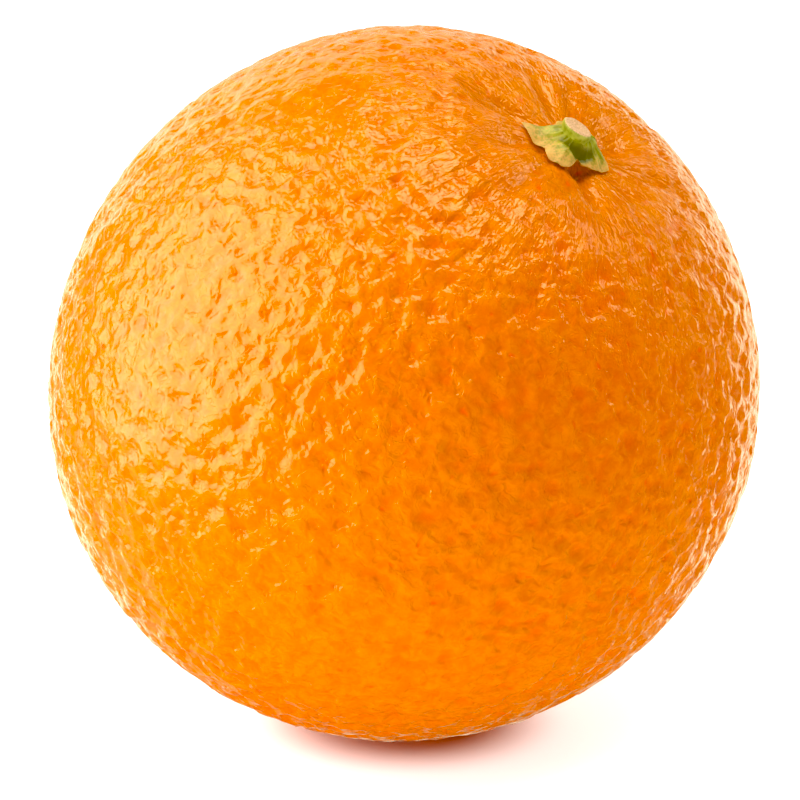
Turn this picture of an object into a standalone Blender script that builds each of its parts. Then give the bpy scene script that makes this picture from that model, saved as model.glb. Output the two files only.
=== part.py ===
"""Sweet orange at rest on its flat spot, with its calyx and the stub of its cut stem.

Three grown pieces: the fruit, the green calyx that grips it around the stem, and the
short stub left where the stem was cut. Units are metres, +Z is up, and the origin is the
middle of the flat that the fruit rests on.

Every piece is shaped about the stem axis, in the stem frame: local +Z runs from the
middle of the fruit out through the stem, a polar angle is counted from +Z, and an
azimuth is counted about +Z from the side that leans down. The empty "stem_axis" then
leans that frame over to the pose in which the fruit rests.
"""

import math
from dataclasses import dataclass

import bmesh
import bpy
from mathutils import Euler, Vector


@dataclass(frozen=True)
class Swelling:
    """A broad low mound on the skin, or a flatter place where its height is negative."""

    azimuth: float      # degrees about the vertical, as the fruit rests
    elevation: float    # degrees above the horizontal, seen from the fruit's middle
    height: float       # metres
    spread: float       # degrees from its top to 1/e of its height


@dataclass(frozen=True)
class Furrow:
    """A shallow furrow that runs out over the skin from under the calyx."""

    azimuth: float      # degrees about the stem axis
    depth: float        # metres, where it is deepest
    half_width: float   # degrees of azimuth from its bed to 1/e of its depth
    peak: float         # degrees from the stem axis, where it is deepest


@dataclass(frozen=True)
class Lobe:
    """One lobe of the calyx."""

    azimuth: float      # degrees about the stem axis
    reach: float        # metres from the stem axis to its tip, along the skin
    half_width: float   # degrees of azimuth from its midrib to its root
    lift: float         # metres by which its tip curls off the skin


# The fruit, and how it lies.
MEAN_RADIUS = 0.0390
LENGTHENING = 0.022             # the stem axis is longer than the cross axes by this share
FLAT_DEPTH = 0.0007             # how far the resting flat cuts into the round
STEM_TILT = math.radians(39.4)
STEM_HEADING = math.radians(-44.4)
STEM_DIMPLE_DEPTH = 0.00235
STEM_DIMPLE_SPREAD = math.radians(13.0)
BLOSSOM_DIMPLE_DEPTH = 0.0009
BLOSSOM_DIMPLE_SPREAD = math.radians(9.0)

SWELLINGS = (
    Swelling(azimuth=195.0, elevation=-26.0, height=0.00025, spread=30.0),
    Swelling(azimuth=181.0, elevation=32.0, height=-0.00025, spread=30.0),
    Swelling(azimuth=80.0, elevation=85.0, height=0.00018, spread=28.0),
    Swelling(azimuth=-1.0, elevation=30.0, height=-0.00022, spread=30.0),
    Swelling(azimuth=-16.0, elevation=-28.0, height=0.00020, spread=30.0),
)

FURROW_LENGTH = 0.5             # share of its peak over which a furrow dies away
FURROWS = (
    Furrow(azimuth=20.0, depth=0.00035, half_width=8.0, peak=11.0),
    Furrow(azimuth=54.0, depth=0.00070, half_width=6.0, peak=14.0),
    Furrow(azimuth=90.0, depth=0.00145, half_width=20.0, peak=10.0),
    Furrow(azimuth=140.0, depth=0.00045, half_width=6.0, peak=11.0),
    Furrow(azimuth=162.0, depth=0.00070, half_width=7.0, peak=12.0),
    Furrow(azimuth=213.0, depth=0.00125, half_width=12.0, peak=12.0),
    Furrow(azimuth=256.0, depth=0.00065, half_width=8.0, peak=11.0),
    Furrow(azimuth=288.0, depth=0.00070, half_width=6.0, peak=15.0),
    Furrow(azimuth=340.0, depth=0.00080, half_width=10.0, peak=10.0),
)

# The calyx and the stem stub.
PIECE_GAP = 0.0003              # between the skin, the calyx and the stub
CALYX_THICKNESS = 0.0007
CALYX_DISC_RADIUS = 0.0026
LOBES = (
    Lobe(azimuth=28.0, reach=0.0048, half_width=40.0, lift=0.0002),
    Lobe(azimuth=88.0, reach=0.0034, half_width=30.0, lift=0.0002),
    Lobe(azimuth=157.0, reach=0.0034, half_width=32.0, lift=0.0002),
    Lobe(azimuth=235.0, reach=0.0062, half_width=38.0, lift=0.0001),
    Lobe(azimuth=291.0, reach=0.0052, half_width=34.0, lift=0.0004),
)
STUB_RADIUS = 0.00175
STUB_LENGTH = 0.0013
STUB_SHOULDER = 0.0003

# Finishes: colour, then roughness.
ORANGE_SKIN = ((0.95, 0.27, 0.01), 0.38)
CALYX_GREEN = ((0.33, 0.38, 0.03), 0.5)
CUT_WOOD = ((0.62, 0.47, 0.22), 0.7)

# Mesh fineness. Edges sharper than a piece's angle, in degrees, are shaded as creases.
FRUIT_SEGMENTS = 84
FRUIT_RINGS = 42
STEM_CROWDING = 1.25            # above 1, the fruit's rings crowd towards the stem
CALYX_SEGMENTS = 72
CALYX_RINGS = 6
STUB_SEGMENTS = 24
SHOULDER_STEPS = 3
FRUIT_SHARP = 8.0
CALYX_SHARP = 60.0
STUB_SHARP = 40.0
MERGE_DISTANCE = 1e-6

# Turn from the stem frame to the pose in which the fruit rests.
LEAN = Euler((0.0, STEM_TILT, STEM_HEADING), "XYZ").to_matrix()


def clear_scene() -> None:
    """Remove every object that the scene starts with."""
    for existing in list(bpy.data.objects):
        bpy.data.objects.remove(existing, do_unlink=True)


def unit_vector(polar: float, azimuth: float) -> Vector:
    """Direction at a polar angle and an azimuth, both in radians."""
    ring = math.sin(polar)
    return Vector((ring * math.cos(azimuth), ring * math.sin(azimuth), math.cos(polar)))


def bell(offset: float, spread: float) -> float:
    """Bell curve of height 1 that falls to 1/e at the given spread."""
    return math.exp(-((offset / spread) ** 2))


def azimuth_between(first: float, second: float) -> float:
    """Smallest turn between two azimuths in radians, always positive."""
    return abs(math.remainder(first - second, math.tau))


def swelling_height(direction: Vector) -> float:
    """Sum of the broad swellings in one direction of the stem frame."""
    resting = LEAN @ direction
    total = 0.0
    for swelling in SWELLINGS:
        polar = math.radians(90.0 - swelling.elevation)
        centre = unit_vector(polar, math.radians(swelling.azimuth))
        total += swelling.height * bell(resting.angle(centre), math.radians(swelling.spread))
    return total


def furrow_depth(polar: float, azimuth: float) -> float:
    """Depth of the furrows at one place on the skin.

    Each is a bell curve of the polar angle, centred on its peak, times a bell curve of
    the azimuth.
    """
    total = 0.0
    for furrow in FURROWS:
        along = polar / math.radians(furrow.peak) - 1.0
        aside = azimuth_between(azimuth, math.radians(furrow.azimuth))
        width = math.radians(furrow.half_width)
        total += furrow.depth * bell(along, FURROW_LENGTH) * bell(aside, width)
    return total


def skin_radius(polar: float, azimuth: float) -> float:
    """Distance from the fruit's middle to its skin.

    A ball, lengthened along the stem axis, with broad swellings, a dimple at each end
    and the furrows.
    """
    second_order = 1.5 * math.cos(polar) ** 2 - 0.5
    ball = MEAN_RADIUS * (1.0 + LENGTHENING / 1.5 * second_order)
    stem_dimple = STEM_DIMPLE_DEPTH * bell(polar, STEM_DIMPLE_SPREAD)
    blossom_dimple = BLOSSOM_DIMPLE_DEPTH * bell(math.pi - polar, BLOSSOM_DIMPLE_SPREAD)
    swelling = swelling_height(unit_vector(polar, azimuth))
    return ball + swelling - stem_dimple - blossom_dimple - furrow_depth(polar, azimuth)


def principled(name: str, finish: tuple[tuple, float]) -> bpy.types.Material:
    """Make a Principled material; nothing on the fruit is metallic."""
    colour, roughness = finish
    material = bpy.data.materials.new(name)
    material.use_nodes = True
    shader = material.node_tree.nodes["Principled BSDF"]
    shader.inputs["Base Color"].default_value = (*colour, 1.0)
    shader.inputs["Roughness"].default_value = roughness
    shader.inputs["Metallic"].default_value = 0.0
    return material


def finish_object(name: str, mesh_data: bmesh.types.BMesh, material: bpy.types.Material,
                  parent: bpy.types.Object, sharp_degrees: float) -> bpy.types.Object:
    """Turn a bmesh into a smooth-shaded object that hangs from the stem axis."""
    bmesh.ops.recalc_face_normals(mesh_data, faces=mesh_data.faces[:])
    mesh = bpy.data.meshes.new(name)
    mesh_data.to_mesh(mesh)
    mesh_data.free()
    mesh.materials.append(material)
    mesh.shade_smooth()
    mesh.set_sharp_from_angle(angle=math.radians(sharp_degrees))
    piece = bpy.data.objects.new(name, mesh)
    piece.parent = parent
    bpy.context.scene.collection.objects.link(piece)
    return piece


def make_stem_axis() -> bpy.types.Object:
    """Empty at the middle of the fruit, leaning the way the stem does."""
    axis = bpy.data.objects.new("stem_axis", None)
    axis.location = (0.0, 0.0, middle_height())
    axis.rotation_euler = LEAN.to_euler("XYZ")
    bpy.context.scene.collection.objects.link(axis)
    return axis


def middle_height() -> float:
    """Height of the fruit's middle above the flat that it rests on."""
    down = LEAN.transposed() @ Vector((0.0, 0.0, -1.0))
    polar = math.acos(down.z)
    azimuth = math.atan2(down.y, down.x)
    return skin_radius(polar, azimuth) - FLAT_DEPTH


def make_fruit(stem_axis: bpy.types.Object) -> bpy.types.Object:
    """The whole fruit: a ball drawn out to the skin, then cut flat where it rests."""
    shape = bmesh.new()
    bmesh.ops.create_uvsphere(
        shape, u_segments=FRUIT_SEGMENTS, v_segments=FRUIT_RINGS, radius=1.0)
    for vertex in shape.verts:
        even_polar = math.acos(max(-1.0, min(1.0, vertex.co.z)))
        polar = math.pi * (even_polar / math.pi) ** STEM_CROWDING
        azimuth = math.atan2(vertex.co.y, vertex.co.x)
        vertex.co = unit_vector(polar, azimuth) * skin_radius(polar, azimuth)

    down = LEAN.transposed() @ Vector((0.0, 0.0, -1.0))
    geometry = shape.verts[:] + shape.edges[:] + shape.faces[:]
    cut = bmesh.ops.bisect_plane(
        shape, geom=geometry, dist=MERGE_DISTANCE, plane_co=down * middle_height(), plane_no=down,
        clear_outer=True)
    rim = [item for item in cut["geom_cut"] if isinstance(item, bmesh.types.BMEdge)]
    bmesh.ops.edgeloop_fill(shape, edges=rim)

    skin = principled("orange_skin", ORANGE_SKIN)
    return finish_object("fruit", shape, skin, stem_axis, FRUIT_SHARP)


def calyx_reach(azimuth: float) -> float:
    """Distance from the stem axis to the calyx's edge: the disc, or the longest lobe there."""
    reach = CALYX_DISC_RADIUS
    for lobe in LOBES:
        aside = azimuth_between(azimuth, math.radians(lobe.azimuth))
        share = max(0.0, 1.0 - aside / math.radians(lobe.half_width))
        reach = max(reach, CALYX_DISC_RADIUS + (lobe.reach - CALYX_DISC_RADIUS) * share)
    return reach


def calyx_lift(azimuth: float, outwards: float) -> float:
    """Height that the calyx curls off the skin, growing with the square of the way out."""
    lift = 0.0
    for lobe in LOBES:
        aside = azimuth_between(azimuth, math.radians(lobe.azimuth))
        lift += lobe.lift * bell(aside, math.radians(lobe.half_width))
    return lift * outwards ** 2


def make_calyx(stem_axis: bpy.types.Object) -> bpy.types.Object:
    """The five-lobed star: rings of its underside, laid over the skin and then thickened."""
    shape = bmesh.new()
    middle = shape.verts.new(unit_vector(0.0, 0.0) * (skin_radius(0.0, 0.0) + PIECE_GAP))
    rings = []
    for ring_index in range(1, CALYX_RINGS + 1):
        outwards = ring_index / CALYX_RINGS
        ring = []
        for segment in range(CALYX_SEGMENTS):
            azimuth = math.tau * segment / CALYX_SEGMENTS
            polar = outwards * calyx_reach(azimuth) / MEAN_RADIUS
            height = skin_radius(polar, azimuth) + PIECE_GAP + calyx_lift(azimuth, outwards)
            ring.append(shape.verts.new(unit_vector(polar, azimuth) * height))
        rings.append(ring)

    for segment in range(CALYX_SEGMENTS):
        following = (segment + 1) % CALYX_SEGMENTS
        shape.faces.new((middle, rings[0][segment], rings[0][following]))
        for inner, outer in zip(rings, rings[1:]):
            shape.faces.new((inner[segment], outer[segment], outer[following], inner[following]))

    leaf = principled("calyx_green", CALYX_GREEN)
    calyx = finish_object("calyx", shape, leaf, stem_axis, CALYX_SHARP)
    thickness = calyx.modifiers.new("thickness", "SOLIDIFY")
    thickness.thickness = CALYX_THICKNESS
    thickness.offset = 1.0
    return calyx


def make_stem_stub(stem_axis: bpy.types.Object) -> bpy.types.Object:
    """The cut stem: a short turned peg with a rounded shoulder under its cut face."""
    foot = skin_radius(0.0, 0.0) + PIECE_GAP + CALYX_THICKNESS + PIECE_GAP
    top = foot + STUB_LENGTH
    neck = STUB_RADIUS - STUB_SHOULDER
    outline = [(0.0, foot), (neck, foot), (STUB_RADIUS, foot + STUB_SHOULDER)]
    for step in range(SHOULDER_STEPS + 1):
        turn = 0.5 * math.pi * step / SHOULDER_STEPS
        outline.append((neck + STUB_SHOULDER * math.cos(turn),
                        top - STUB_SHOULDER * (1.0 - math.sin(turn))))
    outline.append((0.0, top))

    shape = bmesh.new()
    profile = [shape.verts.new((radius, 0.0, height)) for radius, height in outline]
    edges = [shape.edges.new(pair) for pair in zip(profile, profile[1:])]
    bmesh.ops.spin(
        shape, geom=profile + edges, cent=(0.0, 0.0, 0.0), axis=(0.0, 0.0, 1.0),
        angle=math.tau, steps=STUB_SEGMENTS, use_merge=True)
    bmesh.ops.remove_doubles(shape, verts=shape.verts[:], dist=MERGE_DISTANCE)

    wood = principled("cut_stem", CUT_WOOD)
    return finish_object("stem_stub", shape, wood, stem_axis, STUB_SHARP)


def main() -> None:
    """Build the orange."""
    clear_scene()
    stem_axis = make_stem_axis()
    make_fruit(stem_axis)
    make_calyx(stem_axis)
    make_stem_stub(stem_axis)


if __name__ == "__main__":
    main()
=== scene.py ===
"""Looks of a sweet orange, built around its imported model.

The fruit, its calyx and its stem stub are surfaces worked out as whole numpy arrays on
two-parameter grids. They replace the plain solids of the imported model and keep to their
places. Lengths inside the shapes and the finishes are millimetres in the stem frame:
+Z runs from the middle of the fruit out through the stem, polar angles are counted from
+Z, and azimuths about +Z from the side that leans down. Finished meshes are in metres.
"""

import logging
import math
from collections.abc import Callable
from dataclasses import dataclass, field
from enum import Enum, IntEnum

import bpy
import numpy as np
from mathutils import Matrix, Vector


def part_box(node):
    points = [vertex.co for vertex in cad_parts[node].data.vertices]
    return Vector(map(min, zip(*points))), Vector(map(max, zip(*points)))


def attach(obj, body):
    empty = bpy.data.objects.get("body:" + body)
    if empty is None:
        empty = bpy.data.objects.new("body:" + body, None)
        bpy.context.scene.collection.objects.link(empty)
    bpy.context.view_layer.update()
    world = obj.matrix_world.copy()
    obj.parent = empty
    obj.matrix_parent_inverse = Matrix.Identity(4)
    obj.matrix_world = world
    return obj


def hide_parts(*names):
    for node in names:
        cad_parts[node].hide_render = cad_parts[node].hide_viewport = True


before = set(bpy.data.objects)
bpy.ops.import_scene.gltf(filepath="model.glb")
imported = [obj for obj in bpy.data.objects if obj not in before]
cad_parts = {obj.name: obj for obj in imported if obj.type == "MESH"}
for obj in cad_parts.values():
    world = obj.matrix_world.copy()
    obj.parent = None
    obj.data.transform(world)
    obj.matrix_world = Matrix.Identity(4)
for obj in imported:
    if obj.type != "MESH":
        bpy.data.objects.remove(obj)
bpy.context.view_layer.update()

Array = np.ndarray
Triple = tuple[float, float, float]
Colour = Triple
Span = tuple[float, float]

MM = 0.001
LOG = logging.getLogger("orange")
LATTICE_STEPS = (127.1, 311.7, 74.7)
CHANNEL_STEP = 53.3
SCRAMBLE = 43758.5453


class Pattern(IntEnum):
    """First channel of each random pattern, so that no two are alike."""

    DIMPLES = 0
    PORES = 10
    SWELLS = 20
    WRINKLES = 30
    WARP = 40
    STUB = 50


# ---- number fields


def bell(offset: Array, spread: float) -> Array:
    """Bell curve of height 1 about an offset of 0 that falls to 1/e at the spread."""
    return np.exp(-((offset / spread) ** 2))


def smooth_step(low: float, high: float, value: Array) -> Array:
    """Rise from 0 where the value is low to 1 where it is high, along 3t^2 - 2t^3."""
    share = np.clip((value - low) / (high - low), 0.0, 1.0)
    return share * share * (3.0 - 2.0 * share)


def unit_direction(polar: Array | float, azimuth: Array | float) -> Array:
    """Direction by its angle from +Z and its azimuth, in radians, along a new last axis."""
    level = np.sin(polar)
    return np.stack([level * np.cos(azimuth), level * np.sin(azimuth), np.cos(polar)], axis=-1)


def azimuth_between(first: Array, second: float) -> Array:
    """Smallest turn between azimuths, in degrees from 0 to 180."""
    return np.abs((first - second + 180.0) % 360.0 - 180.0)


def lattice_random(cells: Array, channel: int) -> Array:
    """Random number from 0 to 1 for each lattice cell: a sine's fraction, much enlarged."""
    phase = cells @ np.array(LATTICE_STEPS) + CHANNEL_STEP * channel
    return np.modf(np.abs(np.sin(phase) * SCRAMBLE))[0]


def soft_noise(points: Array, size: float, channel: int) -> Array:
    """Smooth random hills and hollows.

    Random numbers at the corners of a cubic lattice, blended by 3t^2 - 2t^3 between them.

    Args:
        points: Places, one row of three for each.
        size: Side of the lattice's cubes.
        channel: Picks the pattern.

    Returns:
        One number from -1 to 1 for each row.
    """
    scaled = points / size
    base = np.floor(scaled)
    blend = scaled - base
    blend = blend * blend * (3.0 - 2.0 * blend)
    total = np.zeros(len(points))
    for corner in np.ndindex(2, 2, 2):
        weights = np.where(np.array(corner) == 1, blend, 1.0 - blend)
        total += np.prod(weights, axis=1) * lattice_random(base + corner, channel)
    return 2.0 * total - 1.0


def nearest_seed(points: Array, spacing: float, channel: int) -> tuple[Array, Array]:
    """Distance to the nearest of the seeds that are strewn through space.

    Each cube of a lattice holds one seed at a random place. The 27 cubes around a point
    are searched.

    Args:
        points: Places, one row of three for each.
        spacing: Side of the cubes, and so the mean distance between seeds.
        channel: Picks the set of seeds.

    Returns:
        The nearest distance, in spacings, and that seed's own random number from 0 to 1.
    """
    scaled = points / spacing
    base = np.floor(scaled)
    nearest = np.full(len(points), np.inf)
    own = np.zeros(len(points))
    for step in np.ndindex(3, 3, 3):
        cell = base + step - 1.0
        aside = [lattice_random(cell, channel + axis) for axis in range(3)]
        seed = cell + np.stack(aside, axis=1)
        distance = np.linalg.norm(scaled - seed, axis=1)
        closer = distance < nearest
        own = np.where(closer, lattice_random(cell, channel + 3), own)
        nearest = np.where(closer, distance, nearest)
    return nearest, own


# ---- meshes


def ball_grid(cells: int) -> tuple[Array, Array]:
    """Six square patches that close into a ball of even cells.

    The two parameters are angles from -45 to 45 degrees. The direction is the patch's
    axis plus each angle's tangent times a side, brought to length 1. Shared edges merge.

    Args:
        cells: Cells along each side of a patch.

    Returns:
        Unit directions, and quads of indices into them that face outwards.
    """
    tangents = np.tan(np.linspace(-math.pi / 4.0, math.pi / 4.0, cells + 1))
    across, along = np.meshgrid(tangents, tangents, indexing="ij")
    unit = np.eye(3)
    patches = []
    for axis in (2, 0, 1):
        side, rise = unit[(axis + 1) % 3], unit[(axis + 2) % 3]
        for out, first, second in ((unit[axis], side, rise), (-unit[axis], rise, side)):
            patches.append(out + across[..., None] * first + along[..., None] * second)
    points = np.array(patches).reshape(-1, 3)
    points /= np.linalg.norm(points, axis=1, keepdims=True)

    index = np.arange(points.shape[0]).reshape(6, cells + 1, cells + 1)
    corners = (index[:, :-1, :-1], index[:, 1:, :-1], index[:, 1:, 1:], index[:, :-1, 1:])
    quads = np.stack(corners, axis=-1).reshape(-1, 4)
    _, kept, merged = np.unique(
        np.round(points, 7), axis=0, return_index=True, return_inverse=True)
    return points[kept], merged.reshape(-1)[quads]


def closed_rings(rings: Array) -> tuple[Array, list[list[int]]]:
    """Close a stack of rings into a body by drawing its first and last ring to a point.

    Args:
        rings: Array of ring, place on the ring and coordinate. Rings run from the middle
            of the top over the edge to that of the underside, places anticlockwise.

    Returns:
        Points, and outward faces: fans at the poles and quads between rings.
    """
    count, places = rings.shape[0] - 2, rings.shape[1]
    poles = rings[[0, -1]].mean(axis=1)
    points = np.concatenate([poles[:1], rings[1:-1].reshape(-1, 3), poles[1:]])
    index = 1 + np.arange(count * places).reshape(count, places)
    turned = np.roll(index, -1, axis=1)
    quads = np.stack([index[:-1], index[1:], turned[1:], turned[:-1]], axis=-1).reshape(-1, 4)
    top = np.stack([np.zeros(places, int), index[0], turned[0]], axis=-1)
    under = np.stack([np.full(places, len(points) - 1), turned[-1], index[-1]], axis=-1)
    return points, top.tolist() + quads.tolist() + under.tolist()


def make_piece(name: str, points: Array, faces: list, material: bpy.types.Material,
               attributes: dict[str, Array] | None = None) -> bpy.types.Object:
    """Make a smooth-shaded object whose place is in its mesh.

    Args:
        name: Name of the object and its mesh.
        points: Places in metres in the model's frame.
        faces: Index lists, one for each face.
        material: Its finish.
        attributes: Numbers at each point that the finish reads, by name.

    Returns:
        The new object, linked to the scene.
    """
    mesh = bpy.data.meshes.new(name)
    mesh.from_pydata(points.tolist(), [], faces)
    mesh.update()
    for label, values in (attributes or {}).items():
        store = mesh.attributes.new(label, "FLOAT", "POINT")
        store.data.foreach_set("value", values.astype(np.float32))
    mesh.shade_smooth()
    mesh.materials.append(material)
    piece = bpy.data.objects.new(name, mesh)
    bpy.context.scene.collection.objects.link(piece)
    return piece


# ---- shader writing


def operator(operation: str, swapped: bool = False) -> Callable[["Flow", "Flow | float"], "Flow"]:
    """Make a Python operator that adds a Math node.

    Args:
        operation: The node's operation.
        swapped: Whether the other value comes first.

    Returns:
        The operator, a method of Flow.
    """
    def method(self: "Flow", other: "Flow | float") -> "Flow":
        """Join the value and another one."""
        pair = (other, self) if swapped else (self, other)
        return self.graph.maths(operation, *pair)
    return method


class Flow:
    """A shader value: Python operators on it add Math nodes."""

    def __init__(self, graph: "Graph", socket: bpy.types.NodeSocket) -> None:
        """Wrap one output socket of a node in the graph."""
        self.graph = graph
        self.socket = socket

    __add__ = __radd__ = operator("ADD")
    __mul__ = __rmul__ = operator("MULTIPLY")
    __sub__ = operator("SUBTRACT")
    __rsub__ = operator("SUBTRACT", swapped=True)
    __truediv__ = operator("DIVIDE")
    __pow__ = operator("POWER")

    def step(self, low: float, high: float) -> "Flow":
        """Smooth rise from 0 where the value is low to 1 where it is high."""
        return self.graph.node(
            "MapRange", {"interpolation_type": "SMOOTHSTEP"},
            {"Value": self, "From Min": low, "From Max": high})

    def bell(self, spread: float) -> "Flow":
        """Bell curve about 0 that falls to 1/e at the spread."""
        return self.graph.maths("EXPONENT", (self / spread) ** 2.0 * -1.0, 0.0)


class Graph:
    """The node tree of one material or of the surroundings."""

    def __init__(self, owner: bpy.types.Material | bpy.types.World) -> None:
        """Start with an empty tree.

        Args:
            owner: The material or the surroundings that it belongs to.
        """
        owner.use_nodes = True
        self.owner = owner
        self.tree = owner.node_tree
        self.tree.nodes.clear()

    def node(self, kind: str, settings: dict | None = None, inputs: dict | None = None,
             output: str | int = 0) -> Flow:
        """Add one node.

        Args:
            kind: The node's type, without ShaderNode before it.
            settings: Its own properties, set before its sockets.
            inputs: Values or links of its sockets, by name or index.
            output: Name or index of the output that is passed on.

        Returns:
            The chosen output.
        """
        added = self.tree.nodes.new("ShaderNode" + kind)
        for key, value in (settings or {}).items():
            setattr(added, key, value)
        for key, value in (inputs or {}).items():
            if isinstance(value, Flow):
                self.tree.links.new(value.socket, added.inputs[key])
            else:
                added.inputs[key].default_value = value
        return Flow(self, added.outputs[output])

    def maths(self, operation: str, first: Flow | float, second: Flow | float) -> Flow:
        """Add a Math node with two values."""
        return self.node("Math", {"operation": operation}, {0: first, 1: second})

    def mix(self, share: Flow | float, first: Flow | tuple, second: Flow | tuple) -> Flow:
        """Blend two colours.

        Args:
            share: Share of the second colour, from 0 to 1.
            first: Colour at a share of 0.
            second: Colour at a share of 1.

        Returns:
            The blend.
        """
        colours = {6: first, 7: second}
        padded = {key: (*value, 1.0) if isinstance(value, tuple) else value
                  for key, value in colours.items()}
        return self.node("Mix", {"data_type": "RGBA"}, {0: share, **padded}, 2)

    def noise(self, place: Flow, size: float, detail: float = 2.0, rough: float = 0.5) -> Flow:
        """Noise from 0 to 1 whose hills are about as wide as the size."""
        return self.node(
            "TexNoise", None,
            {"Vector": place, "Scale": 1.0 / size, "Detail": detail, "Roughness": rough}, "Fac")

    def seeds(self, place: Flow, spacing: float, output: str = "Distance") -> Flow:
        """Distance to the nearest of the seeds strewn at a spacing, or another output."""
        return self.node(
            "TexVoronoi", None, {"Vector": place, "Scale": 1.0 / spacing}, output)

    def coordinates(self, kind: str) -> Flow:
        """Place on the piece, or another kind of coordinates."""
        return self.node("TexCoord", None, None, kind)

    def length(self, vector: Flow) -> Flow:
        """Length of a vector."""
        return self.node("VectorMath", {"operation": "LENGTH"}, {0: vector}, "Value")

    def part(self, vector: Flow, axis: str) -> Flow:
        """One coordinate of a vector, X, Y or Z."""
        return self.node("SeparateXYZ", None, {"Vector": vector}, axis)

    def attribute(self, name: str) -> Flow:
        """Number that the mesh holds for each point."""
        return self.node("Attribute", {"attribute_name": name}, None, "Fac")

    def bump(self, height: Flow) -> Flow:
        """Normal tilted by a height in millimetres."""
        return self.node("Bump", None, {"Height": height, "Distance": MM})

    def finish(self, constants: dict, varying: dict[str, Flow]) -> bpy.types.Material:
        """Close a material's tree with a Principled shader.

        Args:
            constants: Values set on the shader's own sockets.
            varying: What changes over the surface, by socket.

        Returns:
            The finished material.
        """
        shader = self.node("BsdfPrincipled", None, {**constants, **varying})
        self.close("OutputMaterial", shader)
        return self.owner

    def close(self, kind: str, shader: Flow) -> None:
        """Link a shader to an output node of the given type."""
        output = self.tree.nodes.new("ShaderNode" + kind)
        self.tree.links.new(shader.socket, output.inputs["Surface"])


# ---- form of the fruit


@dataclass(frozen=True)
class Swelling:
    """A broad low mound on the skin, or a flatter place where its height is negative."""

    azimuth: float
    elevation: float
    height: float
    spread: float = 30.0


@dataclass(frozen=True)
class Furrow:
    """A shallow furrow that runs out over the skin from under the calyx."""

    azimuth: float
    depth: float
    half_width: float
    peak: float


@dataclass(frozen=True)
class Pit:
    """A small hollow in the skin beside the calyx, where the skin draws away from it."""

    azimuth: float
    ring: float
    depth: float
    spread: float


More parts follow.
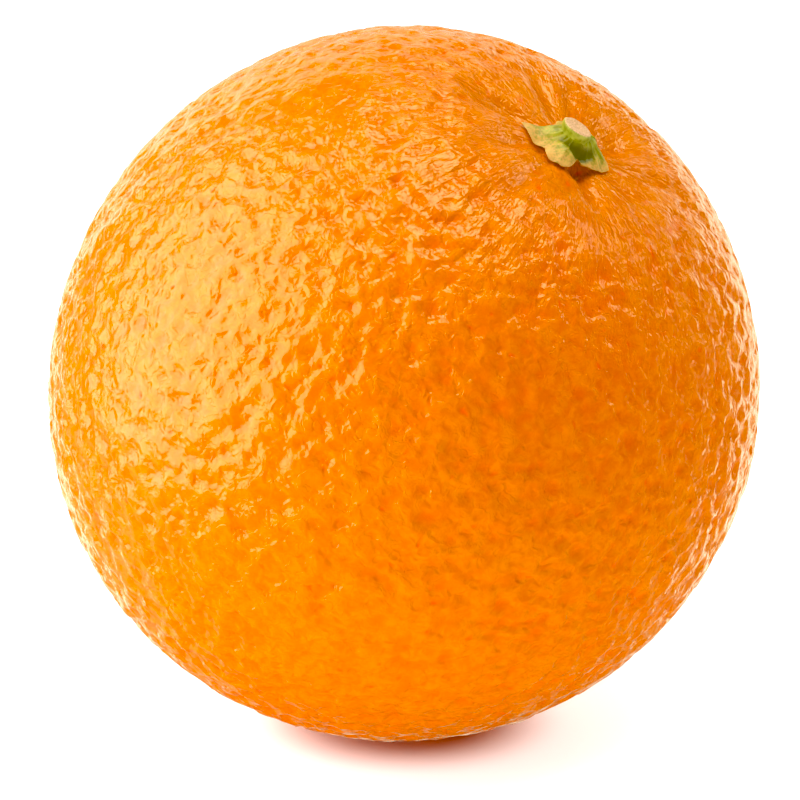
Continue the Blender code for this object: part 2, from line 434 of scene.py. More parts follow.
@dataclass(frozen=True)
class FruitForm:
    """Large shape of the fruit, and how it lies. Lengths in millimetres, angles in degrees."""

    mean_radius: float = 39.0
    lengthening: float = 0.022
    flat_depth: float = 0.7
    stem_depth: float = 2.2
    stem_spread: float = 13.7
    stem_steepness: float = 2.8
    blossom_depth: float = 0.9
    blossom_spread: float = 9.0
    swellings: tuple[Swelling, ...] = (
        Swelling(195.0, -26.0, 0.25),
        Swelling(181.0, 32.0, -0.25),
        Swelling(80.0, 85.0, 0.18, 28.0),
        Swelling(-1.0, 30.0, -0.22),
        Swelling(-16.0, -28.0, 0.20),
    )
    furrows: tuple[Furrow, ...] = (
        Furrow(20.0, 0.35, 8.0, 11.0),
        Furrow(54.0, 0.70, 6.0, 14.0),
        Furrow(90.0, 1.65, 20.0, 10.0),
        Furrow(140.0, 0.45, 6.0, 11.0),
        Furrow(162.0, 0.70, 7.0, 12.0),
        Furrow(213.0, 1.50, 12.0, 12.0),
        Furrow(256.0, 0.65, 8.0, 11.0),
        Furrow(288.0, 0.70, 6.0, 15.0),
        Furrow(340.0, 0.80, 10.0, 10.0),
    )
    furrow_length: float = 0.5
    pits: tuple[Pit, ...] = (
        Pit(338.0, 3.6, 1.3, 1.35),
        Pit(268.0, 4.7, 0.7, 0.5),
    )

    @staticmethod
    def angles(directions: Array) -> tuple[Array, Array]:
        """Polar angles and azimuths, in degrees, of unit directions in the stem frame."""
        polar = np.degrees(np.arccos(np.clip(directions[..., 2], -1.0, 1.0)))
        return polar, np.degrees(np.arctan2(directions[..., 1], directions[..., 0]))

    @property
    def middle(self) -> Array:
        """Middle of the fruit, in millimetres in the model's frame.

        It is half the model's height above the floor, less half the depth of the flat cut.
        """
        low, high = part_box("fruit")
        return np.array([0.0, 0.0, ((high.z - low.z) / MM - self.flat_depth) / 2.0])

    @property
    def lean(self) -> Array:
        """Turn from the stem frame to the model's frame, as a matrix.

        Its third column is the stem axis, which runs from the fruit's middle through the
        middle of the stem stub, and its first column points down the lean.

        Returns:
            The matrix, three rows of three.
        """
        low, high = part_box("stem_stub")
        axis = Vector((low + high) / 2.0 / MM) - Vector(self.middle)
        axis.normalize()
        level = Vector((-axis.y, axis.x, 0.0)).normalized()
        return np.array(Matrix((level.cross(axis), level, axis)).transposed())

    def place(self, points: Array) -> Array:
        """Carry points from the stem frame, in millimetres, to the model, in metres."""
        return (points @ self.lean.T + self.middle) * MM

    def smooth_radius(self, directions: Array) -> Array:
        """Distance from the middle to the skin without its furrows.

        A ball, lengthened along the stem axis by the second Legendre polynomial, with the
        bell-shaped swellings, a dimple exp(-(polar / spread)^steepness) at the stem and a
        bell-shaped one at the blossom end.

        Args:
            directions: Unit directions in the stem frame.

        Returns:
            The distance in each direction.
        """
        polar, _ = self.angles(directions)
        second_order = 1.5 * directions[..., 2] ** 2 - 0.5
        radius = self.mean_radius * (1.0 + self.lengthening / 1.5 * second_order)
        resting = directions @ self.lean.T
        for swelling in self.swellings:
            centre = unit_direction(
                math.radians(90.0 - swelling.elevation), math.radians(swelling.azimuth))
            away = np.degrees(np.arccos(np.clip(resting @ centre, -1.0, 1.0)))
            radius = radius + swelling.height * bell(away, swelling.spread)
        stem = np.exp(-(polar / self.stem_spread) ** self.stem_steepness)
        blossom = bell(180.0 - polar, self.blossom_spread)
        return radius - self.stem_depth * stem - self.blossom_depth * blossom

    def furrow_depth(self, directions: Array) -> Array:
        """Depth of the furrows.

        A bell curve of the polar angle along a furrow, centred on its own peak, times a
        bell curve of the azimuth across it.

        Args:
            directions: Unit directions in the stem frame.

        Returns:
            The depth in each direction.
        """
        polar, azimuth = self.angles(directions)
        depth = np.zeros_like(polar)
        for furrow in self.furrows:
            envelope = bell(polar / furrow.peak - 1.0, self.furrow_length)
            aside = bell(azimuth_between(azimuth, furrow.azimuth), furrow.half_width)
            depth = depth + furrow.depth * aside * envelope
        return depth

    def pit_depth(self, directions: Array) -> Array:
        """Depth of the pits, a bell curve about the middle of each.

        Args:
            directions: Unit directions in the stem frame.

        Returns:
            The depth in each direction.
        """
        depth = np.zeros(directions.shape[:-1])
        for pit in self.pits:
            centre = unit_direction(pit.ring / self.mean_radius, math.radians(pit.azimuth))
            away = np.linalg.norm(directions - centre, axis=-1) * self.mean_radius
            depth = depth + pit.depth * bell(away, pit.spread)
        return depth

    def radius(self, directions: Array) -> Array:
        """Distance from the middle to the skin, furrows and pits included."""
        ground = self.smooth_radius(directions) - self.furrow_depth(directions)
        return ground - self.pit_depth(directions)


@dataclass(frozen=True)
class SkinRelief:
    """Relief that is cut into the skin below its large shape, in millimetres.

    The reaches of dimples and pores are in spacings, and the shares are without unit.
    """

    dimple_spacing: float = 1.9
    dimple_depth: float = 0.48
    pore_spacing: float = 1.3
    pore_depth: float = 0.20
    swell_size: float = 2.6
    swell_height: float = 0.24
    wrinkle_height: float = 0.30
    wrinkle_reach: float = 13.0
    wrinkle_count: float = 9.0
    wrinkle_length: float = 6.0
    dimple_reach: float = 0.66
    dimple_least: float = 0.45
    pore_reach: float = 0.6
    warp_size: float = 3.0
    warp_push: float = 0.45
    calm_reach: float = 12.0
    calm_share: float = 0.88
    even_spot: Triple = (-0.472, -0.453, 0.757)
    even_spread: float = 0.19
    even_share: float = 0.7
    pores_kept: float = 0.2
    swells_kept: float = 0.4

    def evenness(self, points: Array) -> Array:
        """Share by which the skin is smoother, near the stem and at one spot beside it.

        A flat-topped bell, exp(-t^4), of the distance from the stem axis, and a plain bell
        about the spot's direction.

        Args:
            points: Places on the large shape, in the stem frame.

        Returns:
            The share at each place, from 0 to 1.
        """
        ring = np.hypot(points[:, 0], points[:, 1])
        calm = self.calm_share * np.exp(-(ring / self.calm_reach) ** 4) * (points[:, 2] > 0.0)
        facing = points / np.linalg.norm(points, axis=1, keepdims=True)
        away = np.linalg.norm(facing - np.array(self.even_spot), axis=1)
        return np.maximum(calm, self.even_share * bell(away, self.even_spread))

    def height(self, points: Array) -> Array:
        """Height of the relief, never above 0.

        Bowls about two sets of strewn seeds, the oil glands, on slow swells, and near the
        stem wrinkles that run outwards: noise on a ring, drawn out along the radius.

        Args:
            points: Places on the large shape, in the stem frame.

        Returns:
            The height at each place.
        """
        push = [soft_noise(points, self.warp_size, Pattern.WARP + axis) for axis in range(3)]
        warped = points + self.warp_push * np.stack(push, axis=1)
        nearest, own = nearest_seed(warped, self.dimple_spacing, Pattern.DIMPLES)
        bowls = np.clip(1.0 - (nearest / self.dimple_reach) ** 2, 0.0, 1.0)
        dimples = bowls * (self.dimple_least + (1.0 - self.dimple_least) * own)
        nearest, own = nearest_seed(points, self.pore_spacing, Pattern.PORES)
        pores = np.clip(1.0 - (nearest / self.pore_reach) ** 2, 0.0, 1.0) * own
        swell = 0.5 + 0.5 * soft_noise(points, self.swell_size, Pattern.SWELLS)

        ring = np.hypot(points[:, 0], points[:, 1])
        near_stem = bell(ring, self.wrinkle_reach) * (points[:, 2] > 0.0)
        rough = 1.0 - self.evenness(points)
        outwards = points[:, :2] / np.maximum(ring, 0.1)[:, None] * self.wrinkle_count
        drawn = np.column_stack([outwards, ring / self.wrinkle_length])
        wrinkles = 0.5 + 0.5 * soft_noise(drawn, 1.0, Pattern.WRINKLES)
        return -(self.dimple_depth * dimples * rough
                 + self.pore_depth * pores * (self.pores_kept + (1.0 - self.pores_kept) * rough)
                 + self.swell_height * swell * (self.swells_kept + (1.0 - self.swells_kept) * rough)
                 + self.wrinkle_height * wrinkles * near_stem)


@dataclass(frozen=True)
class SkinFinish:
    """Waxed orange peel: mottled orange, darker in its pores, with painted shade in the relief's
    hollows and on one cheek, and a soft gloss.
    """

    bright: Colour = (0.735, 0.188, 0.0005)
    deep: Colour = (0.672, 0.141, 0.0005)
    # Painted shade: the deeper, redder peel on the cheek that faces the camera, a little to its
    # right.
    painted_cheek_bright: Colour = (0.750, 0.163, 0.0005)
    painted_cheek_deep: Colour = (0.672, 0.114, 0.0005)
    # Painted shade: the deeper, redder peel where the relief sinks lowest.
    hollow: Colour = (0.80, 0.100, 0.0005)
    pore: Colour = (0.78, 0.075, 0.0005)
    scar: Colour = (0.16, 0.075, 0.025)
    bowl_spacing: float = 1.2
    bowl_span: Span = (0.0, 0.62)
    bowl_height: float = 0.12
    pore_spacing: float = 1.9
    pore_span: Span = (0.02, 0.26)
    pore_strength: Span = (0.35, 0.95)
    pore_depth: float = 0.06
    pore_colour: float = 0.8
    grain_size: float = 0.5
    grain_height: float = 0.06
    mottle_size: float = 2.6
    spot_size: float = 0.9
    spot_span: Span = (0.28, 0.72)
    fold_size: float = 1.3
    fold_span: Span = (0.0, 0.003)
    fold_places: Span = (0.4, 0.6)
    crease_depth: float = 0.03
    painted_cheek_share: float = 0.8
    painted_hollow_span: Span = (0.35, 0.90)
    painted_hollow_share: float = 0.5
    roughness: float = 0.05
    grain_roughness: float = 0.05
    pore_roughness: float = 0.1
    scar_roughness: float = 0.3
    warp_scale: float = 0.55
    warp_push: float = 1.8
    scar_edge: Span = (1.1, 1.7)
    scar_below: Span = (10.0, 20.0)
    wrinkle_height: float = 0.30
    wrinkle_counts: Span = (10.0, 26.0)
    wrinkle_change: Span = (6.0, 12.0)
    wrinkle_end: Span = (16.0, 28.0)

    def material(self, form: FruitForm) -> bpy.types.Material:
        """Write the peel's shader.

        Args:
            form: The fruit, which knows the stem frame.

        Returns:
            The material.
        """
        graph, place = stem_graph("orange_skin", form)

        warped = self.warped(graph, place)
        bowl = graph.seeds(warped, self.bowl_spacing).step(*self.bowl_span)
        distance = graph.seeds(warped, self.pore_spacing)
        own = graph.part(graph.seeds(warped, self.pore_spacing, "Color"), "X")
        pore = (1.0 - distance.step(*self.pore_span)) * own.step(*self.pore_strength)
        grain = graph.noise(place, self.grain_size, 3.0, 0.6)
        mottle = graph.noise(place, self.mottle_size, 4.0, 0.65)
        fold = (graph.noise(warped, self.fold_size, 2.0) - 0.5) ** 2.0
        crease = (1.0 - fold.step(*self.fold_span)) * mottle.step(*self.fold_places)

        spots = mottle + graph.noise(warped, self.spot_size, 3.0, 0.7) - 0.5
        spots = spots.step(*self.spot_span)
        # Painted shade on one cheek: deeper, redder peel on the side that faces the camera, a
        # little to its right.
        peel = graph.mix(graph.attribute("painted_cheek_shade") * self.painted_cheek_share,
                         graph.mix(spots, self.deep, self.bright),
                         graph.mix(spots, self.painted_cheek_deep, self.painted_cheek_bright))
        # Painted shade in the relief's hollows: the peel turns deeper red where the relief is
        # deepest.
        sunken = graph.attribute("depth").step(*self.painted_hollow_span)
        peel = graph.mix(sunken * self.painted_hollow_share, peel, self.hollow)
        peel = graph.mix(pore * self.pore_colour, peel, self.pore)
        scar = self.scar_mask(graph, place)
        colour = graph.mix(scar, peel, self.scar)

        uneven = 1.0 - graph.attribute("even")
        height = (bowl * self.bowl_height - pore * self.pore_depth) * uneven
        height = height + grain * self.grain_height - crease * self.crease_depth
        height = height + self.wrinkles(graph, place)
        rough = self.roughness + grain * self.grain_roughness
        rough = rough + pore * self.pore_roughness + scar * self.scar_roughness
        return graph.finish(
            {"IOR": 1.62, "Specular Tint": (1.0, 0.85, 0.42, 1.0)},
            {"Base Color": colour, "Roughness": rough, "Normal": graph.bump(height)})

    def warped(self, graph: Graph, place: Flow) -> Flow:
        """Push the place about by noise, so that round patterns turn irregular.

        Args:
            graph: The peel's tree.
            place: Place in the stem frame.

        Returns:
            The place that the patterns read.
        """
        push = graph.node("TexNoise", None,
                          {"Vector": place, "Scale": self.warp_scale, "Detail": 1.0}, "Color")
        return graph.node("VectorMath", {"operation": "MULTIPLY_ADD"},
                          {0: push, 1: (self.warp_push,) * 3, 2: place})

    def scar_mask(self, graph: Graph, place: Flow) -> Flow:
        """Mark the dry scar, a small disc at the blossom end with a ragged edge.

        Args:
            graph: The peel's tree.
            place: Place in the stem frame.

        Returns:
            The share of scar, from 0 to 1.
        """
        ring = graph.length(place)
        height = graph.part(place, "Z")
        across = (ring ** 2.0 - height ** 2.0) ** 0.5 + graph.noise(place, 0.6) * 0.5
        below = (height * -1.0).step(*self.scar_below)
        return (1.0 - across.step(*self.scar_edge)) * below

    def wrinkles(self, graph: Graph, place: Flow) -> Flow:
        """Draw fine wrinkles that run out from the stem.

        Noise on a ring, drawn out along the radius; a finer set takes over farther out,
        so that the wrinkles keep their width.

        Args:
            graph: The peel's tree.
            place: Place in the stem frame.

        Returns:
            Their height in millimetres.
        """
        across, along = graph.part(place, "X"), graph.part(place, "Y")
        ring = (across ** 2.0 + along ** 2.0) ** 0.5 + 0.05
        top = graph.part(place, "Z").step(0.0, 10.0)
        coarse = 1.0 - ring.step(*self.wrinkle_change)
        fine = ring.step(*self.wrinkle_change) * (1.0 - ring.step(*self.wrinkle_end))
        height = 0.0
        for count, share in zip(self.wrinkle_counts, (coarse, fine)):
            drawn = graph.node("CombineXYZ", None,
                               {"X": across / ring * count, "Y": along / ring * count,
                                "Z": ring * 0.5})
            height = graph.noise(drawn, 1.0, 2.0) * share * self.wrinkle_height + height
        return height * top


def stem_graph(name: str, form: FruitForm) -> tuple[Graph, Flow]:
    """Start the tree of a finish whose patterns follow the stem frame.

    Args:
        name: The material's name.
        form: The fruit, which knows the stem frame.

    Returns:
        The tree, and the place on the piece in the stem frame, in millimetres.
    """
    graph = Graph(bpy.data.materials.new(name))
    turn = Matrix(form.lean.tolist()).to_euler("XYZ")
    place = graph.node(
        "Mapping", {"vector_type": "TEXTURE"},
        {"Vector": graph.coordinates("Object"), "Location": tuple(form.middle * MM),
         "Rotation": tuple(turn), "Scale": (MM, MM, MM)})
    return graph, place


@dataclass
class Fruit:
    """The whole fruit, one closed surface from stem to blossom end."""

    form: FruitForm
    relief: SkinRelief = field(default_factory=SkinRelief)
    finish: SkinFinish = field(default_factory=SkinFinish)
    cells: int = 128
    floor_rounding: float = 0.15
    # Middle of the painted shade on the cheek, the side that faces the camera, a little to its
    # right.
    cheek: Triple = (0.438, -0.873, 0.216)
    cheek_spread: float = 38.0
    stretch: Array = field(default_factory=lambda: np.ones(3))
    shift: Array = field(default_factory=lambda: np.zeros(3))

    def build(self) -> bpy.types.Object:
        """Make the fruit and put it in place of the plain one.

        Returns:
            The finished fruit.
        """
        directions, quads = ball_grid(self.cells)
        ground = directions * self.form.radius(directions)[:, None]
        height = self.relief.height(ground)
        points = ground + directions * height[:, None]
        self.fill_box(self.settle(self.form.place(points)))
        fruit = make_piece("orange_fruit", self.carry(points), quads.tolist(),
                           self.finish.material(self.form),
                           {"depth": height / height.min(), "painted_cheek_shade": self.painted_cheek_shade(points),
                            "even": self.relief.evenness(points)})
        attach(fruit, "root")
        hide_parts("fruit")
        return fruit

    def painted_cheek_shade(self, points: Array) -> Array:
        """Paint shade on one cheek of the fruit: deeper, redder peel by a bell about its middle.

        Args:
            points: Places on the skin, in the stem frame.

        Returns:
            The share of painted shade at each place, from 0 to 1.
        """
        facing = points @ self.form.lean.T
        facing = facing / np.linalg.norm(facing, axis=1, keepdims=True)
        away = np.degrees(np.arccos(np.clip(facing @ np.array(self.cheek), -1.0, 1.0)))
        return bell(away, self.cheek_spread)

    def settle(self, points: Array) -> Array:
        """Press the underside flat on the floor, with a soft edge.

        Heights become the smooth greater of themselves and 0: they blend by a parabola
        within the rounding on either side of the floor.

        Args:
            points: Places in metres in the model's frame.

        Returns:
            The pressed places.
        """
        width = self.floor_rounding * MM
        overlap = np.clip(1.0 - np.abs(points[:, 2]) / width, 0.0, 1.0)
        level = np.maximum(points[:, 2], 0.0) + overlap ** 2 * width / 4.0
        return np.column_stack([points[:, :2], level])

    def fill_box(self, points: Array) -> None:
        """Find the stretch and shift that make the settled fruit fill the model's box.

        Args:
            points: The settled fruit's places, in metres in the model's frame.
        """
        low, high = (np.array(corner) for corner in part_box("fruit"))
        least, most = points.min(axis=0), points.max(axis=0)
        least[2] = low[2] = 0.0
        self.stretch = (high - low) / (most - least)
        self.shift = low - least * self.stretch
        LOG.info("fruit: stretched by %.4f, %.4f and %.4f to fill its box", *self.stretch)

    def carry(self, points: Array) -> Array:
        """Carry points from the stem frame, in millimetres, to the finished fruit's skin."""
        return self.settle(self.form.place(points)) * self.stretch + self.shift


# ---- calyx and stub


@dataclass(frozen=True)
class Lobe:
    """One lobe of the calyx. Lengths in millimetres, azimuths in degrees."""

    azimuth: float
    reach: float
    half_widths: tuple[float, float]
    bluntness: float = 1.0
    bulge: float = 0.0

    def turn(self, azimuth: Array) -> Array:
        """Turn from the midrib over the half width on that side, 1 from the side on."""
        aside = (azimuth - self.azimuth + 180.0) % 360.0 - 180.0
        return np.clip(np.where(aside < 0.0, -aside / self.half_widths[0],
                                aside / self.half_widths[1]), 0.0, 1.0)


@dataclass(frozen=True)
class LeafFinish:
    """Green calyx: yellow-green, with painted shade in its hollows, drying to tan at its edge."""

    green: Colour = (0.38, 0.36, 0.025)
    shade: Colour = (0.23, 0.22, 0.007)
    # Painted shade colour for the moat and the notches between the lobes.
    painted_valley_shade: Colour = (0.13, 0.115, 0.003)
    dry: Colour = (0.78, 0.37, 0.10)
    patch_size: float = 1.1
    patch_span: Span = (0.35, 0.65)
    patch_height: float = 0.06
    fleck_size: float = 0.22
    fleck_height: float = 0.04
    painted_hollow_span: Span = (0.05, 0.75)
    painted_hollow_share: float = 0.95
    dry_span: Span = (0.50, 1.05)
    dry_share: float = 0.75
    fleck_dryness: float = 0.9
    patch_dryness: float = 0.6
    roughness: float = 0.38
    dry_roughness: float = 0.25

    def material(self, form: FruitForm) -> bpy.types.Material:
        """Write the calyx's shader.

        Args:
            form: The fruit, which knows the stem frame.

        Returns:
            The material.
        """
        graph, place = stem_graph("calyx_green", form)
        outwards = graph.attribute("outwards")
        patches = graph.noise(place, self.patch_size, 3.0, 0.6)
        flecks = graph.noise(place, self.fleck_size, 2.0)
        leaf = graph.mix(patches.step(*self.patch_span), self.shade, self.green)
        # Painted shade: the green darkens in the moat and the notches, where shade falls.
        hollow = graph.attribute("valley").step(*self.painted_hollow_span)
        leaf = graph.mix(hollow * self.painted_hollow_share, leaf, self.painted_valley_shade)
        dryness = outwards + (flecks - 0.5) * self.fleck_dryness
        dryness = (dryness + (patches - 0.5) * self.patch_dryness).step(*self.dry_span)
        dryness = dryness * (1.0 - hollow)
        height = flecks * self.fleck_height + patches * self.patch_height
        return graph.finish(
            {"IOR": 1.45, "Subsurface Weight": 0.1, "Subsurface Radius": (0.5, 0.8, 0.1),
             "Subsurface Scale": 0.0008},
            {"Base Color": graph.mix(dryness * self.dry_share, leaf, self.dry),
             "Roughness": self.roughness + dryness * self.dry_roughness,
             "Normal": graph.bump(height)})


@dataclass(frozen=True)
class Moat:
    """A sunken arc of the calyx round the foot of the stub."""

    azimuth: float = 325.0
    half_width: float = 55.0
    ring: float = 2.35
    depth: float = 0.90
    spread: float = 0.55

    def hollow(self, azimuth: Array, distance: Array) -> Array:
        """Depth of the arc: a bell about its azimuth times a bell about its ring."""
        return self.depth * (bell(azimuth_between(azimuth, self.azimuth), self.half_width)
                             * bell(distance - self.ring, self.spread))


@dataclass
class Calyx:
    """The green five-lobed star that grips the fruit around the stem."""

    fruit: Fruit
    finish: LeafFinish = field(default_factory=LeafFinish)
    disc_radius: float = 2.8
    collar_height: float = 2.0
    rim_height: float = 0.4
    collar_foot: Span = (1.5, 4.4)
    seat: float = 0.05
    notch_depth: float = 0.5
    notch_spread: float = 0.8
    bulge_share: float = 0.72
    bulge_length: float = 0.3
    bulge_width: float = 0.6
    edge_power: int = 6
    moat: Moat = field(default_factory=Moat)
    lobes: tuple[Lobe, ...] = (
        Lobe(31.5, 4.75, (55.5, 44.5), bulge=0.15),
        Lobe(88.0, 3.4, (30.0, 30.0), bluntness=2.0),
        Lobe(157.0, 3.4, (32.0, 32.0), bluntness=2.0),
        Lobe(230.5, 6.15, (30.0, 88.5), bluntness=0.72, bulge=0.15),
        Lobe(290.0, 4.95, (30.0, 36.0), bluntness=2.6, bulge=0.65),
    )
    places: int = 288
    rings_over: int = 44
    rings_under: int = 14

    def reach(self, azimuth: Array) -> Array:
        """Distance from the stem axis to the edge, along the skin.

        The disc's radius, or the longest lobe there: a lobe tapers as 1 - t^b, where t is
        the turn from its midrib over its half width and b its bluntness.

        Args:
            azimuth: Azimuths in degrees.

        Returns:
            The distance at each azimuth.
        """
        reach = np.full_like(azimuth, self.disc_radius)
        for lobe in self.lobes:
            taper = 1.0 - lobe.turn(azimuth) ** lobe.bluntness
            reach = np.maximum(reach, self.disc_radius + (lobe.reach - self.disc_radius) * taper)
        return reach

    def bulge(self, azimuth: Array) -> Array:
        """Extra thickness of the lobes at an azimuth."""
        return sum(lobe.bulge * bell(lobe.turn(azimuth), self.bulge_width)
                   for lobe in self.lobes)

    def build(self) -> bpy.types.Object:
        """Make the calyx and put it in place of the plain one.

        The first parameter is the azimuth. The second runs from the middle over the upper
        side to the edge and back along the underside. Half the thickness, from collar to
        rim, is rounded off to nothing at the edge by sqrt(1 - s^6), s the share of the way.
        Notches between the lobes and the moat are sunk into the upper side only.

        Returns:
            The finished calyx.
        """
        azimuth = np.arange(self.places) * 360.0 / self.places
        over = np.sin(np.linspace(0.0, math.pi / 2.0, self.rings_over))
        under = over[-1] - np.linspace(0.0, 1.0, self.rings_under + 1)[1:]
        outwards = np.concatenate([over, under])[:, None] + 0.0 * azimuth
        side = np.concatenate([np.ones(self.rings_over), -np.ones(self.rings_under)])[:, None]
        azimuth = azimuth[None, :] + 0.0 * outwards

        distance = outwards * self.reach(azimuth)
        collar = 1.0 - smooth_step(*self.collar_foot, distance)
        between = 1.0 - (self.reach(azimuth) - self.disc_radius) / 2.0
        valley = self.notch_depth * np.clip(between, 0.0, 1.0)
        valley = valley * bell(distance - self.disc_radius, self.notch_spread)
        valley = valley + self.moat.hollow(azimuth, distance)
        thickness = self.rim_height + (self.collar_height - self.rim_height) * collar
        swollen = bell(outwards - self.bulge_share, self.bulge_length)
        thickness = thickness + self.bulge(azimuth) * swollen
        edge = np.sqrt(1.0 - outwards ** self.edge_power)
        half = thickness / 2.0 * edge
        height = self.seat + thickness / 2.0 + side * half
        valley = np.where(side > 0.0, valley, 0.0) * edge
        height = height - valley

        form = self.fruit.form
        directions = unit_direction(distance / form.mean_radius, np.radians(azimuth))
        ground = form.smooth_radius(directions) - form.furrow_depth(directions)
        skin = (directions * ground[..., None]).reshape(-1, 3)
        ground = ground + self.fruit.relief.height(skin).reshape(ground.shape)
        points, faces = closed_rings(directions * (ground + height)[..., None])
        shares = {name: np.concatenate([[0.0], values[1:-1].ravel(), [0.0]])
                  for name, values in (("outwards", outwards),
                                       ("valley", valley / self.moat.depth))}
        calyx = make_piece("calyx_star", self.fruit.carry(points), faces,
                           self.finish.material(form), shares)
        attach(calyx, "root")
        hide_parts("calyx")
        return calyx


@dataclass(frozen=True)
class StemFinish:
    """Cut stem: green bark round pale pinkish wood."""

    bark: Colour = (0.45, 0.44, 0.05)
    bark_shade: Colour = (0.22, 0.24, 0.008)
    wood: Colour = (0.78, 0.46, 0.25)
    pith: Colour = (0.55, 0.30, 0.11)
    fibre_size: float = 0.16
    fibre_span: Span = (0.35, 0.62)
    fibre_height: float = 0.05
    patch_size: float = 0.8
    patch_span: Span = (0.3, 0.7)
    bare_span: Span = (0.45, 0.65)
    raggedness: float = 0.8
    roughness: float = 0.45
    bare_roughness: float = 0.35

    def material(self, form: FruitForm) -> bpy.types.Material:
        """Write the stub's shader.

        Args:
            form: The fruit, which knows the stem frame.

        Returns:
            The material.
        """
        graph, place = stem_graph("cut_stem", form)
        cut = graph.attribute("cut")
        fibres = graph.noise(place, self.fibre_size, 3.0, 0.65)
        patches = graph.noise(place, self.patch_size, 2.0)
        face = graph.mix(fibres.step(*self.fibre_span), self.pith, self.wood)
        bark = graph.mix(patches.step(*self.patch_span), self.bark_shade, self.bark)
        bare = (cut + (fibres - 0.5) * self.raggedness).step(*self.bare_span)
        return graph.finish(
            {"IOR": 1.45},
            {"Base Color": graph.mix(bare, bark, face),
             "Roughness": self.roughness + bare * self.bare_roughness,
             "Normal": graph.bump(fibres * self.fibre_height)})


@dataclass
class StemStub:
    """The short stub of the cut stem."""

    form: FruitForm
    finish: StemFinish = field(default_factory=StemFinish)
    radius: float = 1.72
    foot_flare: float = 0.35
    shoulder: float = 0.34
    face_hollow: float = 0.18
    length: float = 1.2
    rooting: float = 0.6
    lean_shift: float = 0.55
    lean_azimuth: float = 220.0
    cut_tilt: float = 12.0
    cut_azimuth: float = 119.0
    lump_size: float = 1.2
    lump_share: float = 0.05
    knot_size: float = 0.4
    knot_share: float = 0.02
    saw_size: float = 0.7
    saw_height: float = 0.10
    steps: int = 15
    places: int = 96

    def build(self) -> bpy.types.Object:
        """Make the stub and put it in place of the plain one.

        A turned outline: a slightly hollow cut face, a rounded shoulder, a side that
        flares towards its foot, and a flat underside, each of them a stretch of the
        second parameter. Noise makes it uneven.

        Returns:
            The finished stub.
        """
        low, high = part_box("stem_stub")
        centre = (np.array((low + high) / 2.0) / MM - self.form.middle) @ self.form.lean
        top, foot = centre[2] + self.length / 2.0, centre[2] - self.length / 2.0 - self.rooting

        share = np.linspace(0.0, 1.0, self.steps)
        neck = self.radius - self.shoulder
        face = (neck * share, top - self.face_hollow * (1.0 - share ** 2))
        turn = share[1:] * math.pi / 2.0
        shoulder = (neck + self.shoulder * np.sin(turn),
                    top - self.shoulder * (1.0 - np.cos(turn)))
        drop = share[1:]
        side = (self.radius + self.foot_flare * drop ** 2.5,
                top - self.shoulder - (top - self.shoulder - foot) * drop)
        under = ((self.radius + self.foot_flare) * (1.0 - share[1:]), foot + 0.0 * share[1:])
        radii, heights = (np.concatenate(column) for column in zip(face, shoulder, side, under))
        uncut = np.zeros(2 * (self.steps - 1))
        cut = np.concatenate([np.ones(self.steps), 1.0 - share[1:], uncut])

        azimuth = np.arange(self.places) * 2.0 * math.pi / self.places
        rings = np.stack([radii[:, None] * np.cos(azimuth), radii[:, None] * np.sin(azimuth),
                          heights[:, None] + 0.0 * azimuth], axis=-1)
        flat = rings.reshape(-1, 3)
        lumps = soft_noise(flat, self.lump_size, Pattern.STUB)
        knots = soft_noise(flat, self.knot_size, Pattern.STUB + 1)
        uneven = 1.0 + self.lump_share * lumps + self.knot_share * knots
        marks = self.saw_height * soft_noise(flat, self.saw_size, Pattern.STUB + 2)
        rise = marks * np.repeat(cut, self.places)
        flat = np.column_stack([flat[:, :2] * uneven[:, None], flat[:, 2] + rise])
        flat = self.slant(flat, foot, top)
        points, faces = closed_rings(flat.reshape(rings.shape))
        shares = np.concatenate([[1.0], np.repeat(cut[1:-1], self.places), [0.0]])
        stub = make_piece("stem_stub_cut", self.form.place(points), faces,
                          self.finish.material(self.form), {"cut": shares})
        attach(stub, "root")
        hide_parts("stem_stub")
        return stub

    def slant(self, points: Array, foot: float, top: float) -> Array:
        """Lean the stub over, in proportion to the height, and cut its face at a slant.

        Args:
            points: Places on the upright stub, in the stem frame.
            foot: Height at which the lean starts.
            top: Height at which it is complete.

        Returns:
            The places on the leaning stub.
        """
        share = np.clip((points[:, 2:] - foot) / (top - foot), 0.0, 1.0)
        heading, towards = math.radians(self.lean_azimuth), math.radians(self.cut_azimuth)
        aside = share * self.lean_shift * np.array([[math.cos(heading), math.sin(heading)]])
        across = points[:, :2] @ np.array([[math.cos(towards)], [math.sin(towards)]])
        drop = math.tan(math.radians(self.cut_tilt)) * across * share
        return points + np.hstack([aside, -drop])


# ---- studio


class Side(Enum):
    """Where a soft box stands: a unit direction from the fruit."""

    LEFT = (-0.900, -0.224, 0.365)
    ABOVE = (0.12, -0.145, 0.98)
    RIGHT = (0.72, 0.15, 0.60)
    FLANK = (0.95, 0.22, 0.22)
    FILL = (0.52, 0.0, 0.85)


@dataclass(frozen=True)
class SoftBox:
    """A flat studio light that faces the fruit. Lengths in metres.

    One that isn't mirrored lights the fruit without showing in its gloss.
    """

    side: Side
    distance: float
    width: float
    height: float
    radiance: float
    mirrored: bool = True

    def build(self, aim: Vector) -> bpy.types.Object:
        """Hang the light and turn it to the aim.

        Args:
            aim: Place it faces, in metres.

        Returns:
            The light's object.
        """
        data = bpy.data.lights.new(f"softbox_{self.side.name.lower()}", "AREA")
        data.shape = "RECTANGLE"
        data.size, data.size_y = self.width, self.height
        data.energy = self.radiance * math.pi * self.width * self.height
        lamp = bpy.data.objects.new(data.name, data)
        lamp.visible_glossy = self.mirrored
        direction = Vector(self.side.value).normalized()
        lamp.location = aim + direction * self.distance
        lamp.rotation_euler = direction.to_track_quat("Z", "Y").to_euler()
        bpy.context.scene.collection.objects.link(lamp)
        return lamp


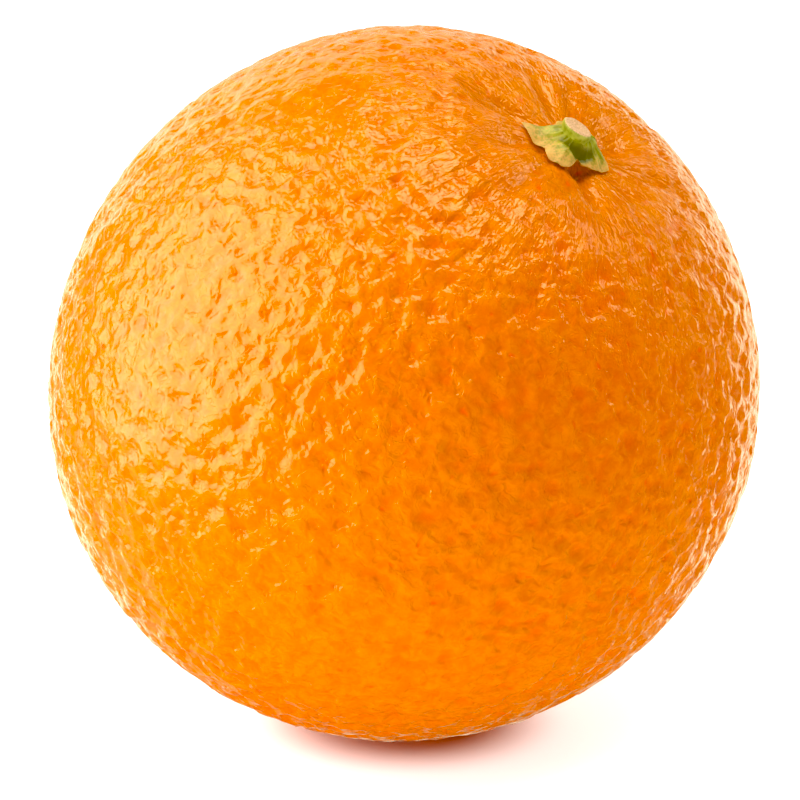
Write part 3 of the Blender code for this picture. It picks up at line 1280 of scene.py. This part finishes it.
@dataclass
class Studio:
    """White floor, white surroundings, soft boxes and the camera. Lengths in metres.

    The spans of the surroundings are of the unit direction's parts: height, depth away
    from the camera, right and left.
    """

    form: FruitForm
    elevation: float = 13.0
    lens: float = 120.0
    distance: float = 0.2934
    aim_left: float = 0.00042
    aim_down: float = 0.00159
    floor_half: float = 6.0
    blue_black: float = 0.025
    glow: float = 0.70
    # Painted contact shadow on the floor: within this span of distance from the fruit's middle, the
    # glow rises from a faint red, painted bounce light, to its full strength.
    painted_shadow_span: Span = (0.0086, 0.0190)
    painted_shadow_red: Colour = (0.11, 0.0, 0.0)
    far_span: Span = (0.15, 0.40)
    front: float = 0.02
    wall: float = 1.12
    wall_sides: float = 0.95
    wall_colour: Colour = (1.0, 0.92, 0.68)
    wall_span: Span = (0.67, 0.73)
    wall_foot: Span = (-0.60, -0.36)
    side_span: Span = (0.01, 0.16)
    corner: float = 0.12
    corner_height: Span = (0.0, 0.5)
    corner_right: Span = (0.1, 0.5)
    dim: float = 0.82
    dim_left: Span = (0.46, 0.60)
    low: float = 0.42
    low_more: float = 0.25
    low_left: Span = (0.3, 0.6)
    low_start: Span = (0.2, 0.45)
    low_end: Span = (0.60, 0.80)
    low_depth: Span = (-0.1, 0.3)
    boxes: tuple[SoftBox, ...] = (
        SoftBox(Side.LEFT, 0.55, 0.72, 0.90, 4.35),
        SoftBox(Side.ABOVE, 0.60, 0.29, 0.46, 5.7),
        SoftBox(Side.RIGHT, 0.60, 0.16, 0.36, 2.9),
        SoftBox(Side.FLANK, 0.60, 0.05, 0.70, 2.6),
        SoftBox(Side.FILL, 0.60, 0.30, 0.30, 2.6, mirrored=False),
    )

    def build(self) -> None:
        """Make the floor, the surroundings, the lights and the camera."""
        self.floor()
        self.surroundings()
        middle = Vector(self.form.middle * MM)
        for box in self.boxes:
            box.build(middle)
        self.camera(middle)
        view = bpy.context.scene.view_settings
        view.view_transform = "Standard"
        view.use_curve_mapping = True
        view.curve_mapping.black_level = (0.0, 0.0, self.blue_black)
        view.curve_mapping.update()

    def floor(self) -> None:
        """Lay a plain white floor just under the fruit.

        It glows like a light table, and far out it is plain white. Near the fruit the glow
        is dimmed to a painted contact shadow, tinted faint red as painted bounce light from
        the peel. It is matt, so that the fruit's gloss doesn't mirror it.
        """
        graph = Graph(bpy.data.materials.new("white_floor"))
        away = graph.length(graph.coordinates("Object"))
        # Painted contact shadow: the glow is faint red close to the fruit, as painted bounce light,
        # and rises outwards.
        near = graph.mix(away.step(*self.painted_shadow_span), self.painted_shadow_red, (self.glow,) * 3)
        paper = graph.finish(
            {"Base Color": (0.93, 0.93, 0.93, 1.0), "Roughness": 0.9,
             "Specular IOR Level": 0.2, "Emission Strength": 1.0},
            {"Emission Color": graph.mix(away.step(*self.far_span), near, (1.0, 1.0, 1.0))})
        half, level = self.floor_half, -0.05 * MM
        corners = np.array([[-half, -half, level], [half, -half, level],
                            [half, half, level], [-half, half, level]])
        floor = make_piece("floor", corners, [[0, 1, 2, 3]], paper)
        floor.visible_glossy = False

    def surroundings(self) -> None:
        """Surround the fruit: dim in front, a bright wall behind and a pale glow low down.

        The wall is brighter towards its sides, ends at the far left, and starts farther
        forward at the upper right. The camera sees plain white past the floor.
        """
        world = bpy.data.worlds.new("white_room")
        graph = Graph(world)
        direction = graph.coordinates("Generated")
        height = graph.part(direction, "Z")
        depth, aside = graph.part(direction, "Y"), graph.part(direction, "X")
        left, drop = aside * -1.0, height * -1.0
        corner = height.step(*self.corner_height) * aside.step(*self.corner_right)
        start = depth - corner * self.corner
        behind = start.step(*self.wall_span) * height.step(*self.wall_foot)
        sides = (aside ** 2.0).step(*self.side_span) * self.wall_sides + self.wall
        sides = sides * (1.0 - left.step(*self.dim_left) * self.dim)
        low = drop.step(*self.low_start) * (1.0 - drop.step(*self.low_end))
        low = low * depth.step(*self.low_depth)
        low = low * (left.step(*self.low_left) * self.low_more + self.low)
        light = behind * sides + low + self.front
        seen = graph.node("LightPath", None, None, "Is Camera Ray")
        shown = light * (1.0 - seen) + seen
        shader = graph.node("Background", None,
                            {"Color": graph.mix(seen, self.wall_colour, (1.0, 1.0, 1.0)),
                             "Strength": shown})
        graph.close("OutputWorld", shader)
        bpy.context.scene.world = world

    def camera(self, middle: Vector) -> None:
        """Set up the camera in front of the fruit, a little above it.

        Args:
            middle: The fruit's middle, in metres.
        """
        rise = math.radians(self.elevation)
        towards = Vector((0.0, -math.cos(rise), math.sin(rise)))
        up = Vector((0.0, math.sin(rise), math.cos(rise)))
        data = bpy.data.cameras.new("camera")
        data.lens, data.sensor_width = self.lens, 36.0
        data.clip_start, data.clip_end = 0.01, 50.0
        camera = bpy.data.objects.new("camera", data)
        camera.location = middle + towards * self.distance
        aim = middle - Vector((self.aim_left, 0.0, 0.0)) - up * self.aim_down
        camera.rotation_euler = (camera.location - aim).to_track_quat("Z", "Y").to_euler()
        bpy.context.scene.collection.objects.link(camera)
        bpy.context.scene.camera = camera


def main() -> None:
    """Build the orange and its studio."""
    logging.basicConfig(level=logging.INFO, format="%(name)s: %(message)s")
    form = FruitForm()
    fruit = Fruit(form)
    for builder in (fruit, Calyx(fruit), StemStub(form)):
        piece = builder.build()
        LOG.info("%s: %d points, %d faces", piece.name, len(piece.data.vertices),
                 len(piece.data.polygons))
    Studio(form).build()


if __name__ == "__main__":
    main()
